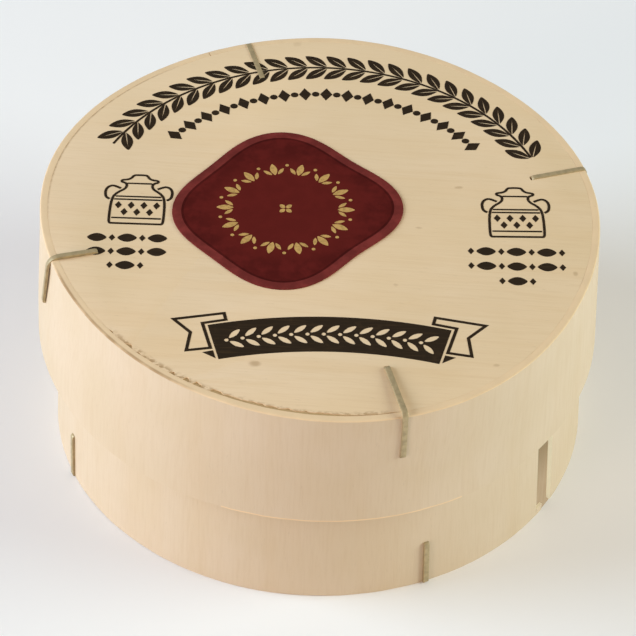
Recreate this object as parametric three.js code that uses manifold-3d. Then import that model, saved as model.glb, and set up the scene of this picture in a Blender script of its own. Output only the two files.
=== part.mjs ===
// A round poplar veneer cheese box, shut. The lid is a thin board set flush inside a bent band, and the base
// is made the same way and slides up inside it. Flat wire staples bent over the edges hold each board in
// its band, and a paper seal cut like a drop of wax lies on the lid.
// Millimetres, +Z up. The origin is on the axis, on the surface that the box stands on, and the side that
// the print faces is -Y. An azimuth is in degrees, from -Y towards +X.

import * as THREE from "three";
import { mergeVertices } from "three/addons/utils/BufferGeometryUtils.js";
import Module from "manifold-3d";

// Driving dimensions of the two boards and bands. Both bands flare a little towards the bottom.
const BOX_HEIGHT = 40.5;
const LID_HEIGHT = 21.6;
const LID_TOP_RADIUS = 44.0;
const LID_FLARE = 0.8;
const LID_VENEER = 1.2;
const BASE_BOTTOM_RADIUS = 42.8;
const BASE_FLARE = 1.6;
const BASE_VENEER = 1.0;
const BASE_BAND_HEIGHT = 37.5;
const BOARD_THICKNESS = 2.0;

// Curved faces that touch in the real box stand this far apart, and the plug inside a little further.
const CURVED_GAP = 0.3;
const INSIDE_GAP = 0.4;
const ROUND_STEPS = 180;

// Where the ends of each bent band meet. The base's ends stand apart, and one keeps a tongue at its foot.
const BASE_SEAM = { azimuth: 58, width: 4.4 };
const BASE_TONGUE = { width: 1.6, height: 1.4 };
const LID_SEAM = { azimuth: 205, width: 0.3 };

// A cutter reaches past what it cuts by this much.
const OVERRUN = 1;

// Staples of flat wire. Each has one leg on the board and one on the band, and a prong at each leg's end.
const WIRE_WIDTH = 0.9;
const WIRE_THICKNESS = 0.45;
const BOARD_LEG = 8.8;
const LID_SIDE_LEG = 9.7;
const BASE_SIDE_LEG = 8.2;
const BOARD_PRONG = 1.2;
const BAND_PRONG = 0.75;
const LID_BEND = 0.9;
const BASE_BEND = 0.25;
const WIRE_CLEARANCE = 0.1;

// The lid's staples stand off the rim by their own amounts, and the base's are pressed in flush.
const LID_STAPLES = [
  { name: "front", azimuth: 17.5, lift: 0.8 },
  { name: "right", azimuth: 107, lift: 0.3 },
  { name: "back", azimuth: 196, lift: 0.3 },
  { name: "left", azimuth: 285.5, lift: 0.35 },
];
const BASE_STAPLES = [
  { name: "front", azimuth: 23.7 },
  { name: "right", azimuth: 113.7 },
  { name: "back", azimuth: 203.7 },
  { name: "left", azimuth: 294.5 },
];

// The paper seal, uneven like pressed wax: its mean radius, and the waves that its edge swells by. Each wave
// has a number of lobes, a swell, and a turn in degrees.
const SEAL_CENTRE = { x: -5.2, y: 1.45 };
const SEAL_RADIUS = 17.05;
const SEAL_WAVES = [
  { lobes: 4, swell: 1.3, turn: -13 },
  { lobes: 3, swell: 0.35, turn: -4 },
  { lobes: 2, swell: 0.3, turn: -146 },
];
const SEAL_THICKNESS = 0.3;
const SEAL_STEPS = 168;

const wasm = await Module();
wasm.setup();

const paint = (color, roughness, metalness) =>
  new THREE.MeshStandardMaterial({ color, roughness, metalness });

const MATERIALS = {
  lidVeneer: paint(0xdec9a2, 0.72, 0),
  bandVeneer: paint(0xe2cfae, 0.7, 0),
  baseVeneer: paint(0xdccaa8, 0.72, 0),
  inside: paint(0xa98f66, 0.85, 0),
  wire: paint(0x8f8a76, 0.45, 0.85),
  sealPaper: paint(0x5a1b20, 0.5, 0),
};

// A closed geometry as a solid that can be cut.
function solidOf(geometry) {
  const bare = geometry.clone();
  bare.deleteAttribute("normal");
  bare.deleteAttribute("uv");
  const merged = mergeVertices(bare, 1e-4);
  return new wasm.Manifold(
    new wasm.Mesh({
      numProp: 3,
      vertProperties: merged.attributes.position.array,
      triVerts: new Uint32Array(merged.index.array),
    }),
  );
}

// A cut solid as a geometry, less every cutter in the list.
function cutGeometry(geometry, cutters) {
  let solid = solidOf(geometry);
  for (const cutter of cutters) solid = solid.subtract(solidOf(cutter));
  const mesh = solid.getMesh();
  const result = new THREE.BufferGeometry();
  result.setAttribute("position", new THREE.BufferAttribute(mesh.vertProperties, 3));
  result.setIndex(new THREE.BufferAttribute(mesh.triVerts, 1));
  result.computeVertexNormals();
  return result;
}

function namedMesh(name, geometry, material) {
  const mesh = new THREE.Mesh(geometry, material);
  mesh.name = name;
  return mesh;
}

const spinOf = (azimuth) => THREE.MathUtils.degToRad(azimuth - 90);

// A disc or a tapered plug standing on the height z.
function disc(bottomRadius, topRadius, thickness, z) {
  const geometry = new THREE.CylinderGeometry(topRadius, bottomRadius, thickness, ROUND_STEPS);
  geometry.rotateX(Math.PI / 2);
  return geometry.translate(0, 0, z + thickness / 2);
}

// A bent band: a ring of one thickness whose outer radius goes from bottomRadius to topRadius.
function band(bottomRadius, topRadius, thickness, z, height) {
  const section = [
    new THREE.Vector2(bottomRadius - thickness, z),
    new THREE.Vector2(bottomRadius, z),
    new THREE.Vector2(topRadius, z + height),
    new THREE.Vector2(topRadius - thickness, z + height),
    new THREE.Vector2(bottomRadius - thickness, z),
  ];
  return new THREE.LatheGeometry(section, ROUND_STEPS).rotateX(Math.PI / 2);
}

// A box cutter on a radius: from inner to outer along it, width across it, and from low to high in Z.
function radialBox({ azimuth, inner, outer, width, low, high, aside = 0 }) {
  const geometry = new THREE.BoxGeometry(outer - inner, width, high - low);
  geometry.translate((inner + outer) / 2, aside, (low + high) / 2);
  return geometry.rotateZ(spinOf(azimuth));
}

// The side view of a staple: x is the radius and y the height over the board's face. The board leg climbs
// from seat to lift, and the side leg leans out with the band.
function stapleOutline({ rimRadius, lean, sideLeg, seat, lift, bend }) {
  const face = rimRadius + WIRE_CLEARANCE;
  const thick = WIRE_THICKNESS;
  const hole = rimRadius - BOARD_LEG;
  const foot = face + lean * sideLeg;
  const outerBend = bend + thick;
  const outline = new THREE.Shape();
  outline.moveTo(hole, seat + thick);
  outline.lineTo(hole, seat - BOARD_PRONG);
  outline.lineTo(hole + thick, seat - BOARD_PRONG);
  outline.lineTo(hole + thick, seat);
  outline.lineTo(face - bend, lift);
  outline.quadraticCurveTo(face, lift, face + lean * bend, lift - bend);
  outline.lineTo(foot, thick - sideLeg);
  outline.lineTo(foot - BAND_PRONG, thick - sideLeg);
  outline.lineTo(foot - BAND_PRONG, -sideLeg);
  outline.lineTo(foot + thick, -sideLeg);
  outline.lineTo(face + thick + lean * outerBend, lift + thick - outerBend);
  outline.quadraticCurveTo(face + thick, lift + thick, face + thick - outerBend, lift + thick);
  outline.closePath();
  return outline;
}

function staple(name, azimuth, outline) {
  const geometry = new THREE.ExtrudeGeometry(outline, {
    depth: WIRE_WIDTH,
    bevelEnabled: false,
    curveSegments: 5,
  });
  geometry.translate(0, 0, -WIRE_WIDTH / 2).rotateX(Math.PI / 2);
  const mesh = namedMesh(name, geometry, MATERIALS.wire);
  mesh.rotation.z = spinOf(azimuth);
  return mesh;
}

// The two pockets that a staple's prongs sit in. Up is +1 for the lid and -1 for the base.
function prongPockets({ azimuth, rimRadius, lean, sideLeg, seat, face, up }) {
  const width = WIRE_WIDTH + 2 * WIRE_CLEARANCE;
  const hole = rimRadius - BOARD_LEG;
  const foot = rimRadius + lean * sideLeg;
  const boardEnds = [face + up * (seat - BOARD_PRONG - WIRE_CLEARANCE), face + up * WIRE_CLEARANCE];
  const bandEnds = [
    face - up * (sideLeg + WIRE_CLEARANCE),
    face - up * (sideLeg - WIRE_THICKNESS - WIRE_CLEARANCE),
  ];
  return [
    radialBox({
      azimuth,
      inner: hole - WIRE_CLEARANCE,
      outer: hole + WIRE_THICKNESS + WIRE_CLEARANCE,
      width,
      low: Math.min(...boardEnds),
      high: Math.max(...boardEnds),
    }),
    radialBox({
      azimuth,
      inner: foot - BAND_PRONG,
      outer: foot + OVERRUN,
      width,
      low: Math.min(...bandEnds),
      high: Math.max(...bandEnds),
    }),
  ];
}

// The lid's staples and the pockets they need.
const lidLean = LID_FLARE / LID_HEIGHT;
const lidStaples = LID_STAPLES.map(({ name, azimuth, lift }) => {
  const fit = {
    rimRadius: LID_TOP_RADIUS,
    lean: lidLean,
    sideLeg: LID_SIDE_LEG,
    seat: 0,
    lift,
    bend: LID_BEND,
  };
  const mesh = staple(`lid_staple_${name}`, azimuth, stapleOutline(fit));
  mesh.position.z = BOX_HEIGHT;
  return { mesh, pockets: prongPockets({ ...fit, azimuth, face: BOX_HEIGHT, up: 1 }) };
});
const lidPockets = lidStaples.flatMap(({ pockets }) => pockets);

// The base's staples are the same turned upside down, each in a groove across the board and the band.
const baseLean = -BASE_FLARE / BASE_BAND_HEIGHT;
const baseStaples = BASE_STAPLES.map(({ name, azimuth }) => {
  const sunk = -WIRE_THICKNESS;
  const fit = {
    rimRadius: BASE_BOTTOM_RADIUS,
    lean: baseLean,
    sideLeg: BASE_SIDE_LEG,
    seat: sunk,
    lift: sunk,
    bend: BASE_BEND,
  };
  const mesh = staple(`base_staple_${name}`, azimuth, stapleOutline(fit));
  mesh.rotation.order = "ZYX";
  mesh.rotation.x = Math.PI;
  const groove = radialBox({
    azimuth,
    inner: BASE_BOTTOM_RADIUS - BOARD_LEG - WIRE_CLEARANCE,
    outer: BASE_BOTTOM_RADIUS + OVERRUN,
    width: WIRE_WIDTH + 2 * WIRE_CLEARANCE,
    low: -OVERRUN,
    high: WIRE_THICKNESS + WIRE_CLEARANCE,
  });
  return { mesh, pockets: [groove, ...prongPockets({ ...fit, azimuth, face: 0, up: -1 })] };
});
const basePockets = baseStaples.flatMap(({ pockets }) => pockets);

// The gap where the base band's ends stand apart, less the tongue at the foot of one end.
function baseSeamCutters() {
  const reach = {
    azimuth: BASE_SEAM.azimuth,
    inner: BASE_BOTTOM_RADIUS - BASE_FLARE - BASE_VENEER - OVERRUN,
    outer: BASE_BOTTOM_RADIUS + OVERRUN,
  };
  const footWidth = BASE_SEAM.width - BASE_TONGUE.width;
  return [
    radialBox({ ...reach, width: BASE_SEAM.width, low: BASE_TONGUE.height, high: BOX_HEIGHT }),
    radialBox({
      ...reach,
      width: footWidth,
      aside: BASE_TONGUE.width / 2,
      low: -OVERRUN,
      high: BASE_TONGUE.height + OVERRUN,
    }),
  ];
}

function lidSeamCutter() {
  return radialBox({
    azimuth: LID_SEAM.azimuth,
    inner: LID_TOP_RADIUS - LID_VENEER - OVERRUN,
    outer: LID_TOP_RADIUS + LID_FLARE + OVERRUN,
    width: LID_SEAM.width,
    low: BOX_HEIGHT - LID_HEIGHT - OVERRUN,
    high: BOX_HEIGHT + OVERRUN,
  });
}

function makeLidBoard() {
  const radius = LID_TOP_RADIUS - LID_VENEER - CURVED_GAP;
  const board = disc(radius, radius, BOARD_THICKNESS, BOX_HEIGHT - BOARD_THICKNESS);
  return namedMesh("lid_board", cutGeometry(board, lidPockets), MATERIALS.lidVeneer);
}

function makeLidBand() {
  const bottomRadius = LID_TOP_RADIUS + LID_FLARE;
  const ring = band(bottomRadius, LID_TOP_RADIUS, LID_VENEER, BOX_HEIGHT - LID_HEIGHT, LID_HEIGHT);
  return namedMesh("lid_band", cutGeometry(ring, [lidSeamCutter(), ...lidPockets]), MATERIALS.bandVeneer);
}

function makeBaseBoard() {
  const radius = BASE_BOTTOM_RADIUS - BASE_VENEER - CURVED_GAP;
  const board = disc(radius, radius, BOARD_THICKNESS, 0);
  return namedMesh("base_board", cutGeometry(board, basePockets), MATERIALS.baseVeneer);
}

function makeBaseBand() {
  const topRadius = BASE_BOTTOM_RADIUS - BASE_FLARE;
  const ring = band(BASE_BOTTOM_RADIUS, topRadius, BASE_VENEER, 0, BASE_BAND_HEIGHT);
  const cutters = [...baseSeamCutters(), ...basePockets];
  return namedMesh("base_band", cutGeometry(ring, cutters), MATERIALS.baseVeneer);
}

// What the shut box holds, as one plug between the two boards.
function makeInside() {
  const bottomRadius = BASE_BOTTOM_RADIUS - BASE_VENEER - INSIDE_GAP;
  const height = BOX_HEIGHT - 2 * BOARD_THICKNESS;
  const topRadius = bottomRadius - (BASE_FLARE / BASE_BAND_HEIGHT) * height;
  return namedMesh(
    "inside_core",
    disc(bottomRadius, topRadius, height, BOARD_THICKNESS),
    MATERIALS.inside,
  );
}

// A flat disc whose rim swells in and out in uneven lobes.
function makeSeal() {
  const swellAt = (angle) =>
    SEAL_WAVES.reduce(
      (sum, { lobes, swell, turn }) => sum + swell * Math.cos(lobes * angle + THREE.MathUtils.degToRad(turn)),
      0,
    );
  const rim = Array.from({ length: SEAL_STEPS }, (_, step) => {
    const turn = (step / SEAL_STEPS) * 2 * Math.PI;
    const radius = SEAL_RADIUS + swellAt(turn);
    return new THREE.Vector2(radius * Math.cos(turn), radius * Math.sin(turn));
  });
  const geometry = new THREE.ExtrudeGeometry(new THREE.Shape(rim), {
    depth: SEAL_THICKNESS,
    bevelEnabled: false,
  });
  const mesh = namedMesh("seal_label", geometry, MATERIALS.sealPaper);
  mesh.position.set(SEAL_CENTRE.x, SEAL_CENTRE.y, BOX_HEIGHT);
  return mesh;
}

const lid = new THREE.Group();
lid.add(makeLidBoard(), makeLidBand(), makeSeal(), ...lidStaples.map(({ mesh }) => mesh));

const base = new THREE.Group();
base.add(makeBaseBoard(), makeBaseBand(), makeInside(), ...baseStaples.map(({ mesh }) => mesh));

const cheeseBox = new THREE.Group();
cheeseBox.add(lid, base);

export default cheeseBox;
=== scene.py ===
"""A shut round cheese box of thin poplar veneer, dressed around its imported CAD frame.

Lengths are metres, +Z is up, the box's axis is Z, and the side that the print faces is -Y. An azimuth is an
angle from -Y towards +X. The lid's print is traditional ornament: a garland, a row of beads, a ribbon, and
two milk churns over rows of leaves. A red seal, cut like pressed wax, carries a gold wreath.
"""

import math

import bmesh
import bpy
from mathutils import Matrix, Vector, noise


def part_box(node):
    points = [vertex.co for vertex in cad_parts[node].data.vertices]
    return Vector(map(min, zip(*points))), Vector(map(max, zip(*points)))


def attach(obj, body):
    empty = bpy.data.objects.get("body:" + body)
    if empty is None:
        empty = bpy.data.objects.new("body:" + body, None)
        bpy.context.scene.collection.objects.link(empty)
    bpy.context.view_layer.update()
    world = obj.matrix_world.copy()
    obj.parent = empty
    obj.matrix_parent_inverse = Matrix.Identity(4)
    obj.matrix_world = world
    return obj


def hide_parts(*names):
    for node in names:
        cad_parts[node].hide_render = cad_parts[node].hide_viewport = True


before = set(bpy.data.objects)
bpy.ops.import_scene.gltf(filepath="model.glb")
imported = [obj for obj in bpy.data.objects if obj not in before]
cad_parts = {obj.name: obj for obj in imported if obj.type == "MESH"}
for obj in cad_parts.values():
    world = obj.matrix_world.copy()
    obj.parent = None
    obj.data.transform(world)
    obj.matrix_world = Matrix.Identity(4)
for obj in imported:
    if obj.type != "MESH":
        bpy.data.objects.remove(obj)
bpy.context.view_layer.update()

bl_info = {
    "name": "Poplar cheese box",
    "version": (1, 0, 0),
    "blender": (4, 5, 0),
    "location": "3D View > Sidebar > Cheese Box",
    "description": "Builds a stapled veneer cheese box piece by piece",
    "category": "Add Mesh",
}

MM = 0.001

# Heights and radii that the frame gives.
LID_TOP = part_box("lid_board")[1].z
LID_BOARD_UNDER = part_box("lid_board")[0].z
LID_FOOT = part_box("lid_band")[0].z
LID_FOOT_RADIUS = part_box("lid_band")[1].x
BASE_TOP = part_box("base_band")[1].z
BASE_FOOT_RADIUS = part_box("base_band")[1].x
BOARD_PLAY = 0.3 * MM
RIM_THICKNESS = 1.2 * MM
LID_RIM_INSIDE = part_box("lid_board")[1].x + BOARD_PLAY
LID_RIM = LID_RIM_INSIDE + RIM_THICKNESS
SEAL_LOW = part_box("seal_label")[0]

# The seal's mean radius, and the waves that its edge swells by: lobes, swell in millimetres and turn in
# degrees, as in the CAD.
SEAL_RADIUS = 17.05 * MM
SEAL_WAVES = ((4, 1.3, -13), (3, 0.35, -4), (2, 0.3, -146))

# The base sits a little to the front right in the lid, by the play between the two, and narrows towards its
# top.
BASE_SHIFT = Vector((0.6 * MM, -0.3 * MM, 0))
BASE_FLARE = 1.6 * MM

# The waves that the lid's rim is out of round by: lobes, size in millimetres and turn in degrees. Its foot
# follows them by only a part.
LID_WAVES = ((0, 0.3, 0), (1, 0.57, 118), (2, 1.1, 55), (3, 0.56, 42), (4, 0.14, 19), (5, 0.18, 159))
LID_FOOT_SHARE = 0.3

# Where the bands' ends meet, where the lid's joint is torn open by the saw, and where the lid's foot takes
# the paler end grain.
BASE_SEAM_AZIMUTH = math.radians(58)
LID_SEAM_AZIMUTH = math.radians(205)
OPEN_JOINT = (math.radians(-19), math.radians(16))
PITTED_JOINT = (math.radians(-48), math.radians(-19))
PALE_FOOT = (math.radians(-18), math.radians(30))

# Where the lid's rim is torn and weathered brown, and where painted shade darkens its outer arris: a middle
# azimuth, a half width and a soft end.
TORN_SECTOR = (math.radians(-17), math.radians(30), math.radians(4))
WEATHERED_SECTOR = (math.radians(-118), math.radians(22), math.radians(14))
ARRIS_SHADE_SECTOR = (math.radians(-49), math.radians(21), math.radians(6))

# Each lid staple: its azimuth in degrees, and in millimetres how far it stands off the rim, its foot is
# askew, its side leg stands out, its prong on the board is askew and how long its side leg is. One that
# stands off by less than nothing is pressed into the wood.
LID_STAPLES = {
    "front": (16.8, 0.6, 0.05, 0.0, 0.45, 8.7),
    "right": (107.0, -0.25, 0.3, 0.0, 0.0, 9.7),
    "back": (196.0, -0.3, 0.2, 0.0, 0.0, 9.7),
    "left": (285.5, 0.1, -1.3, 0.12, 0.0, 9.7),
}

# Each base staple: its azimuth in degrees, and in millimetres how far its foot is askew.
BASE_STAPLES = {
    "front": (23.7, 0.0),
    "right": (113.7, 0.5),
    "back": (203.7, -0.4),
    "left": (294.5, 0.3),
}

# The camera stands in front: its rise over the lid's middle and distance from it, and how it is turned.
CAMERA_RISE = math.radians(41.4)
CAMERA_DISTANCE = 500 * MM
CAMERA_DIP = math.radians(43.22)
CAMERA_TURN = math.radians(-0.038)
CAMERA_ROLL = math.radians(1.3)
CAMERA_LENS = 181.0


def seal_edge(turn, radius):
    """A place on the seal's edge, from the point that it is drawn about, at a turn from +X."""
    swell = sum(size * math.cos(lobes * turn + math.radians(shift)) for lobes, size, shift in SEAL_WAVES)
    return Vector((math.cos(turn), math.sin(turn), 0)) * (radius + swell * MM)


# The point that the seal is drawn about, which isn't the middle of its uneven outline's box.
SEAL_RIM = [seal_edge(math.tau * step / 168, SEAL_RADIUS) for step in range(168)]
SEAL_CENTRE = SEAL_LOW - Vector((min(place.x for place in SEAL_RIM), min(place.y for place in SEAL_RIM), 0))


def linear(hex_colour):
    """An sRGB hex colour as linear red, green and blue."""
    channels = [int(hex_colour[i : i + 2], 16) / 255 for i in (1, 3, 5)]
    return tuple(c / 12.92 if c <= 0.04045 else ((c + 0.055) / 1.055) ** 2.4 for c in channels)


def length_property(name, description, millimetres):
    """A length in metres with its default given in millimetres."""
    return bpy.props.FloatProperty(
        name=name, description=description, default=millimetres * MM, unit="LENGTH", precision=5
    )


def colour_property(name, description, hex_colour):
    """A linear colour with its default given as sRGB hex."""
    return bpy.props.FloatVectorProperty(
        name=name, description=description, subtype="COLOR", size=3, default=linear(hex_colour)
    )


class CheeseBoxSizes(bpy.types.PropertyGroup):
    """The sizes that a user would change."""

    lid_veneer: length_property("Lid veneer", "Thickness of the lid's bent band", 1.2)
    base_veneer: length_property("Base veneer", "Thickness of the base's bent band", 1.0)
    base_seam: length_property("Base seam", "Gap between the ends of the base's band", 4.4)
    lid_seam: length_property("Lid seam", "Gap between the ends of the lid's band", 0.12)
    open_joint: length_property("Open joint", "Width of the torn joint at the front of the lid", 0.55)
    seam_depth: length_property("Seam depth", "How deep the strip behind the base's seam lies", 0.45)
    scarf: length_property("Scarf", "How far the band's right end is cut on a slant at its seam", 1.1)
    tongue_height: length_property("Tongue height", "Height of the tongue at the seam's foot", 1.4)
    tongue_width: length_property("Tongue width", "Width of the tongue at the seam's foot", 1.6)
    wire_width: length_property("Wire width", "Width of the flat staple wire", 0.82)
    wire_thickness: length_property("Wire thickness", "Thickness of the flat staple wire", 0.45)
    board_leg: length_property("Board leg", "Length of a staple's leg on a board", 8.8)
    base_side_leg: length_property("Base side leg", "Length of a base staple's leg on the band", 8.2)
    ink_film: length_property("Ink film", "How far the print stands on the wood", 0.03)
    seal_radius: length_property("Seal radius", "Mean radius of the seal", SEAL_RADIUS / MM)
    seal_paper: length_property("Seal paper", "Thickness of the seal", 0.22)
    seal_border: length_property("Seal border", "Width of the seal's paler border", 1.35)


class CheeseBoxColours(bpy.types.PropertyGroup):
    """The colours that a user would change."""

    lid_veneer: colour_property("Lid veneer", "Heart of the lid board's wood", "#E6CBA4")
    band_veneer: colour_property("Band veneer", "Heart of the bands' wood", "#D2BDA0")
    cut_edge: colour_property("Cut edge", "End grain on the bands' cut edges", "#EACCA3")
    # Painted highlight: the band's slanted end at the base's seam is given a much paler colour that stands in
    # for light falling on it.
    cut_end_painted_highlight: colour_property("Fresh cut", "The band's slanted end at the seam", "#FAECCD")
    # Brown stain on marks and torn joints, and also the colour of the painted shade along the lid's outer
    # arris at the left.
    stain_and_shade: colour_property("Stain", "Brown stain along torn and worn edges", "#A5835A")
    inside: colour_property("Inside", "The shaded inner face at the seam", "#B99A6B")
    ink: colour_property("Ink", "Black printing ink soaked into wood", "#2A1E10")
    wire: colour_property("Wire", "Dull galvanised steel", "#B6A37C")
    seal_field: colour_property("Seal field", "The seal's dark red field", "#581A17")
    seal_border: colour_property("Seal border", "The seal's paler border", "#742F2B")
    gold: colour_property("Gold", "The seal's gold ink", "#DDB36A")


def outward(azimuth):
    """The level direction that points out of the box at an azimuth."""
    return Vector((math.sin(azimuth), -math.cos(azimuth), 0))


def azimuth_of(point):
    """The azimuth of a point, from -pi to pi."""
    return math.atan2(point.x, -point.y)


def smooth_step(low, high, value):
    """0 below low, 1 above high and an even curve between."""
    share = min(1.0, max(0.0, (value - low) / (high - low)))
    return share * share * (3 - 2 * share)


def within(value, bounds, soft):
    """1 between two bounds and 0 outside them, with soft ends."""
    low, high = bounds
    return smooth_step(low - soft, low + soft, value) * (1 - smooth_step(high - soft, high + soft, value))


def waver(azimuth, turns, seed):
    """Smooth noise from -1 to 1 round the box, with about that many waves in a turn."""
    radius = turns / math.tau
    return noise.noise((radius * math.cos(azimuth) + seed, radius * math.sin(azimuth), seed * 1.7))


def lid_bulge(azimuth):
    """How far the lid's rim is off a true circle: long towards the front right and the left back."""
    return sum(size * math.cos(lobes * azimuth - math.radians(turn)) for lobes, size, turn in LID_WAVES) * MM


def bulge_share(share):
    """How much of the rim's bulge the lid's band has at a share of its height."""
    return LID_FOOT_SHARE + (1 - LID_FOOT_SHARE) * smooth_step(0.2, 1, share)


def add_node(tree, kind, settings=None, inputs=None):
    """Adds a node, gives it its settings, and sets or links its inputs."""
    node = tree.nodes.new(kind)
    for name, value in (settings or {}).items():
        setattr(node, name, value)
    for key, value in (inputs or {}).items():
        if isinstance(value, bpy.types.NodeSocket):
            tree.links.new(value, node.inputs[key])
        else:
            node.inputs[key].default_value = value
    return node


def new_material(name):
    """An empty material with its shader: the tree and the shader node."""
    material = bpy.data.materials.new(name)
    material.use_nodes = True
    tree = material.node_tree
    tree.nodes.clear()
    shader = add_node(tree, "ShaderNodeBsdfPrincipled")
    add_node(tree, "ShaderNodeOutputMaterial", inputs={"Surface": shader.outputs["BSDF"]})
    return material, tree, shader


def stretched_noise(tree, point, across, along, grain, detail=3.0):
    """Noise with grains of those lengths across and along the wood's grain, which runs on that axis."""
    scale = [1 / across] * 3
    scale["XYZ".index(grain)] = 1 / along
    mapped = add_node(
        tree, "ShaderNodeVectorMath", {"operation": "MULTIPLY"}, {0: point, 1: scale}
    )
    return add_node(
        tree,
        "ShaderNodeTexNoise",
        inputs={"Vector": mapped.outputs[0], "Scale": 1.0, "Detail": detail, "Roughness": 0.55},
    ).outputs["Fac"]


def ranged(tree, value, low, high, to_low=0.0, to_high=1.0):
    """A value mapped from one range to another and held inside it."""
    return add_node(
        tree,
        "ShaderNodeMapRange",
        {"interpolation_type": "SMOOTHSTEP"},
        {"Value": value, "From Min": low, "From Max": high, "To Min": to_low, "To Max": to_high},
    ).outputs["Result"]


def blended(tree, factor, first, second, mode="MIX"):
    """Two colours mixed by a factor."""
    node = add_node(
        tree,
        "ShaderNodeMix",
        {"data_type": "RGBA", "blend_type": mode},
        {0: factor, 6: first, 7: second},
    )
    return node.outputs[2]


def rgba(colour, shade=1.0):
    """A colour with an alpha of 1, made lighter or darker."""
    return (*[channel * shade for channel in colour], 1.0)


def in_sector(tree, point, azimuth, half_width, soft):
    """1 where a point lies within a sector about the axis, and 0 outside it."""
    level = add_node(
        tree, "ShaderNodeVectorMath", {"operation": "MULTIPLY"}, {0: point, 1: (1, 1, 0)}
    ).outputs[0]
    way = add_node(tree, "ShaderNodeVectorMath", {"operation": "NORMALIZE"}, {0: level}).outputs[0]
    facing = add_node(
        tree, "ShaderNodeVectorMath", {"operation": "DOT_PRODUCT"}, {0: way, 1: outward(azimuth)}
    ).outputs["Value"]
    return ranged(tree, facing, math.cos(half_width + soft), math.cos(max(0, half_width - soft)))


def radius_of(tree, point):
    """A point's distance from the axis."""
    level = add_node(
        tree, "ShaderNodeVectorMath", {"operation": "MULTIPLY"}, {0: point, 1: (1, 1, 0)}
    ).outputs[0]
    return add_node(tree, "ShaderNodeVectorMath", {"operation": "LENGTH"}, {0: level}).outputs["Value"]


def inside_rim(tree, point):
    """How far inside the lid's outer rim a point on the lid's top is, with the rim out of round."""
    parts = add_node(tree, "ShaderNodeSeparateXYZ", inputs={0: point}).outputs
    front = add_node(tree, "ShaderNodeMath", {"operation": "MULTIPLY"}, {0: parts["Y"], 1: -1.0}).outputs[0]
    azimuth = add_node(tree, "ShaderNodeMath", {"operation": "ARCTAN2"}, {0: parts["X"], 1: front}).outputs[0]
    rim = LID_RIM
    for lobes, size, turn in LID_WAVES:
        phase = add_node(
            tree,
            "ShaderNodeMath",
            {"operation": "MULTIPLY_ADD"},
            {0: azimuth, 1: lobes, 2: -math.radians(turn)},
        ).outputs[0]
        wave = add_node(tree, "ShaderNodeMath", {"operation": "COSINE"}, {0: phase}).outputs[0]
        rim = add_node(
            tree, "ShaderNodeMath", {"operation": "MULTIPLY_ADD"}, {0: wave, 1: size * MM, 2: rim}
        ).outputs[0]
    return add_node(
        tree, "ShaderNodeMath", {"operation": "SUBTRACT"}, {0: rim, 1: radius_of(tree, point)}
    ).outputs[0]


def product(tree, *values):
    """Several values multiplied together."""
    result = values[0]
    for value in values[1:]:
        result = add_node(tree, "ShaderNodeMath", {"operation": "MULTIPLY"}, {0: result, 1: value}).outputs[0]
    return result


def veneer(name, colour, grain, strength=1.0, tilt=0.0):
    """Rotary-cut poplar veneer, raw: matte and pale, with fine fibres, short pores and a faint figure."""
    material, tree, shader = new_material(name)
    place = add_node(tree, "ShaderNodeTexCoord").outputs["Object"]
    point = add_node(
        tree, "ShaderNodeMapping", inputs={"Vector": place, "Rotation": (0, 0, tilt)}
    ).outputs["Vector"]
    figure = stretched_noise(tree, point, 5 * MM, 60 * MM, grain)
    streaks = stretched_noise(tree, point, 1.3 * MM, 30 * MM, grain)
    fibres = stretched_noise(tree, point, 0.32 * MM, 7 * MM, grain, 4.0)
    pores = stretched_noise(tree, point, 0.2 * MM, 1.8 * MM, grain, 2.0)
    clouds = stretched_noise(tree, point, 16 * MM, 16 * MM, grain, 2.0)
    warm = (colour[0] * 0.97, colour[1] * 0.91, colour[2] * 0.82)
    pale = (min(1, colour[0] * 1.04), min(1, colour[1] * 1.05), min(1, colour[2] * 1.1))
    tone = blended(tree, ranged(tree, clouds, 0.3, 0.7), rgba(pale), rgba(colour))
    tone = blended(tree, ranged(tree, figure, 0.45, 0.75, 0, 0.75 * strength), tone, rgba(warm))
    tone = blended(tree, ranged(tree, streaks, 0.5, 0.8, 0, 0.6 * strength), tone, rgba(warm, 0.95))
    tone = blended(tree, ranged(tree, fibres, 0.42, 0.72, 0, 0.5 * strength), tone, rgba(warm, 0.9))
    tone = blended(tree, ranged(tree, pores, 0.66, 0.78, 0, 0.45 * strength), tone, rgba(warm, 0.55))
    height = add_node(tree, "ShaderNodeMath", {"operation": "ADD"}, {0: fibres, 1: pores}).outputs[0]
    bump = add_node(
        tree, "ShaderNodeBump", {"invert": True}, {"Height": height, "Strength": 0.16, "Distance": 0.1 * MM}
    )
    tree.links.new(tone, shader.inputs["Base Color"])
    tree.links.new(bump.outputs["Normal"], shader.inputs["Normal"])
    tree.links.new(ranged(tree, fibres, 0.2, 0.8, 0.6, 0.75), shader.inputs["Roughness"])
    shader.inputs["Specular IOR Level"].default_value = 0.3
    return material


# Small marks on the lid's board: x and y in millimetres, length along the grain, height and strength.
MARKS = (
    (-9.0, -33.4, 2.2, 1.5, 0.55),
    (22.0, 7.6, 1.6, 0.7, 0.4),
    (15.6, -2.2, 1.3, 0.6, 0.35),
    (12.0, -15.4, 1.0, 0.8, 0.25),
    (27.0, -32.6, 1.2, 0.7, 0.3),
    (39.6, -12.0, 0.9, 1.3, 0.4),
    (35.6, 24.4, 0.9, 0.9, 0.45),
    (-4.2, 43.1, 1.7, 1.4, 0.4),
)


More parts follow.
